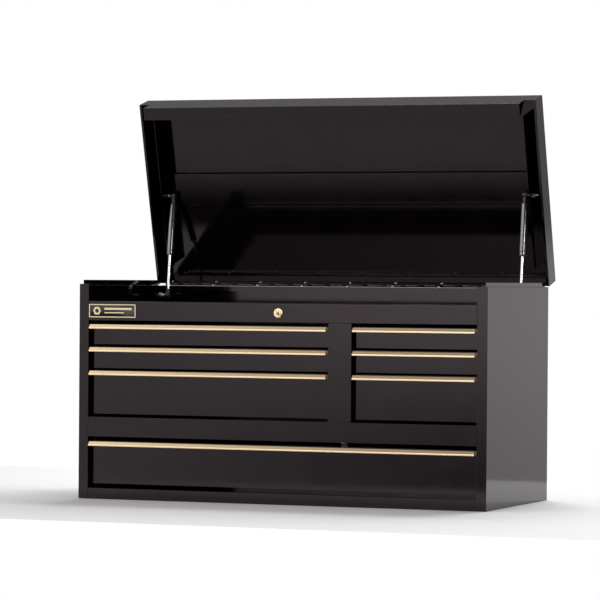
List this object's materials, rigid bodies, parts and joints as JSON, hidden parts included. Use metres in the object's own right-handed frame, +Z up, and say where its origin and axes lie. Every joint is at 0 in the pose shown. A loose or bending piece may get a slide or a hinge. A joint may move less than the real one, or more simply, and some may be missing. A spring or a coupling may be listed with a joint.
{
  "type": "top tool chest",
  "caption": "Steel top tool chest: drawer banks over a full-width drawer, a till under a hinged lid on gas struts, full-width pulls and a key lock.",
  "frame": {"origin": "centre of the underside of the base pan, on the surface the chest stands on", "axes": "+X to the right across the width, the drawers open towards -Y, +Z up"},
  "size_m": [1.058, 0.5328, 0.9962],
  "materials": {
    "black_paint": "gloss black baked powder coat",
    "gold_anodised": "bright gold anodised extrusion",
    "zinc_plate": "bright zinc plate",
    "chrome": "hard chrome, polished",
    "brass": "polished brass",
    "strut_black": "satin black paint",
    "nameplate_black": "gloss black plate with a gold border"
  },
  "bodies": {
    "case": {"left_side_panel": "black_paint", "right_side_panel": "black_paint", "back_panel": "black_paint", "base_pan": "black_paint", "front_header": "black_paint", "centre_stile": "black_paint", "middle_rail": "black_paint", "bottom_rail": "black_paint", "till_floor": "black_paint", "till_front_wall": "black_paint", "divider_shelf": "black_paint", "centre_partition": "zinc_plate", "left_slide_column": "zinc_plate", "right_slide_column": "zinc_plate", "hinge_leaf_case": "black_paint", "hinge_pin": "zinc_plate", "ball_stud_case_left": "zinc_plate", "ball_stud_case_right": "zinc_plate", "lock_body": "brass", "nameplate": "nameplate_black"},
    "lid": {"lid_shell": "black_paint", "lid_stiffener": "black_paint", "hinge_leaf_lid": "black_paint", "lid_rail_left": "black_paint", "lid_rail_right": "black_paint"},
    "strut_rod_left": {"strut_rod_left": "chrome"},
    "strut_cylinder_left": {"strut_cylinder_left": "strut_black"},
    "strut_rod_right": {"strut_rod_right": "chrome"},
    "strut_cylinder_right": {"strut_cylinder_right": "strut_black"},
    "left_top_drawer": {"left_top_drawer_box": "black_paint", "left_top_drawer_pull": "gold_anodised", "left_top_drawer_slide_left": "zinc_plate", "left_top_drawer_slide_right": "zinc_plate"},
    "right_top_drawer": {"right_top_drawer_box": "black_paint", "right_top_drawer_pull": "gold_anodised", "right_top_drawer_slide_left": "zinc_plate", "right_top_drawer_slide_right": "zinc_plate"},
    "left_middle_drawer": {"left_middle_drawer_box": "black_paint", "left_middle_drawer_pull": "gold_anodised", "left_middle_drawer_slide_left": "zinc_plate", "left_middle_drawer_slide_right": "zinc_plate"},
    "right_middle_drawer": {"right_middle_drawer_box": "black_paint", "right_middle_drawer_pull": "gold_anodised", "right_middle_drawer_slide_left": "zinc_plate", "right_middle_drawer_slide_right": "zinc_plate"},
    "left_lower_drawer": {"left_lower_drawer_box": "black_paint", "left_lower_drawer_pull": "gold_anodised", "left_lower_drawer_slide_left": "zinc_plate", "left_lower_drawer_slide_right": "zinc_plate"},
    "right_lower_drawer": {"right_lower_drawer_box": "black_paint", "right_lower_drawer_pull": "gold_anodised", "right_lower_drawer_slide_left": "zinc_plate", "right_lower_drawer_slide_right": "zinc_plate"},
    "bottom_drawer": {"bottom_drawer_box": "black_paint", "bottom_drawer_pull": "gold_anodised", "bottom_drawer_slide_left": "zinc_plate", "bottom_drawer_slide_right": "zinc_plate"},
    "lock_plug": {"lock_plug": "brass", "lock_cam": "zinc_plate"},
    "lock_bar": {"lock_bar": "zinc_plate"}
  },
  "joints": [
    {"name": "lid_hinge", "type": "hinge", "parent": "case", "child": "lid", "pos_m": [0, 0.236, 0.526], "axis": [-1, 0, 0], "range_deg": [-75, 0]},
    {"name": "strut_left_swing", "type": "hinge", "parent": "case", "child": "strut_rod_left", "pos_m": [-0.474, 0.178, 0.498], "axis": [-1, 0, 0], "range_deg": [-77.5, 0]},
    {"name": "strut_left_slide", "type": "slide", "parent": "strut_rod_left", "child": "strut_cylinder_left", "axis": [0, 0.1265, 0.992], "range_m": [-0.0785, 0]},
    {"name": "strut_right_swing", "type": "hinge", "parent": "case", "child": "strut_rod_right", "pos_m": [0.474, 0.178, 0.498], "axis": [-1, 0, 0], "range_deg": [-77.5, 0]},
    {"name": "strut_right_slide", "type": "slide", "parent": "strut_rod_right", "child": "strut_cylinder_right", "axis": [0, 0.1265, 0.992], "range_m": [-0.0785, 0]},
    {"name": "left_top_drawer_slide", "type": "slide", "parent": "case", "child": "left_top_drawer", "axis": [0, -1, 0], "range_m": [0, 0.36]},
    {"name": "right_top_drawer_slide", "type": "slide", "parent": "case", "child": "right_top_drawer", "axis": [0, -1, 0], "range_m": [0, 0.36]},
    {"name": "left_middle_drawer_slide", "type": "slide", "parent": "case", "child": "left_middle_drawer", "axis": [0, -1, 0], "range_m": [0, 0.36]},
    {"name": "right_middle_drawer_slide", "type": "slide", "parent": "case", "child": "right_middle_drawer", "axis": [0, -1, 0], "range_m": [0, 0.36]},
    {"name": "left_lower_drawer_slide", "type": "slide", "parent": "case", "child": "left_lower_drawer", "axis": [0, -1, 0], "range_m": [0, 0.36]},
    {"name": "right_lower_drawer_slide", "type": "slide", "parent": "case", "child": "right_lower_drawer", "axis": [0, -1, 0], "range_m": [0, 0.36]},
    {"name": "bottom_drawer_slide", "type": "slide", "parent": "case", "child": "bottom_drawer", "axis": [0, -1, 0], "range_m": [0, 0.36]},
    {"name": "lock_turn", "type": "hinge", "parent": "case", "child": "lock_plug", "pos_m": [0, -0.236, 0.459], "axis": [0, 1, 0], "range_deg": [0, 90]},
    {"name": "lock_bar_slide", "type": "slide", "parent": "case", "child": "lock_bar", "axis": [0, 0, -1], "range_m": [0, 0.0084]}
  ],
  "couplings": [
    {"joint": "strut_left_swing", "follows": "lid_hinge", "ratio": 1.0261},
    {"joint": "strut_left_slide", "follows": "lid_hinge", "m_per_rad": 0.059643},
    {"joint": "strut_right_swing", "follows": "lid_hinge", "ratio": 1.0261},
    {"joint": "strut_right_slide", "follows": "lid_hinge", "m_per_rad": 0.059643},
    {"joint": "lock_turn", "follows": "lock_bar_slide", "rad_per_m": 187}
  ]
}
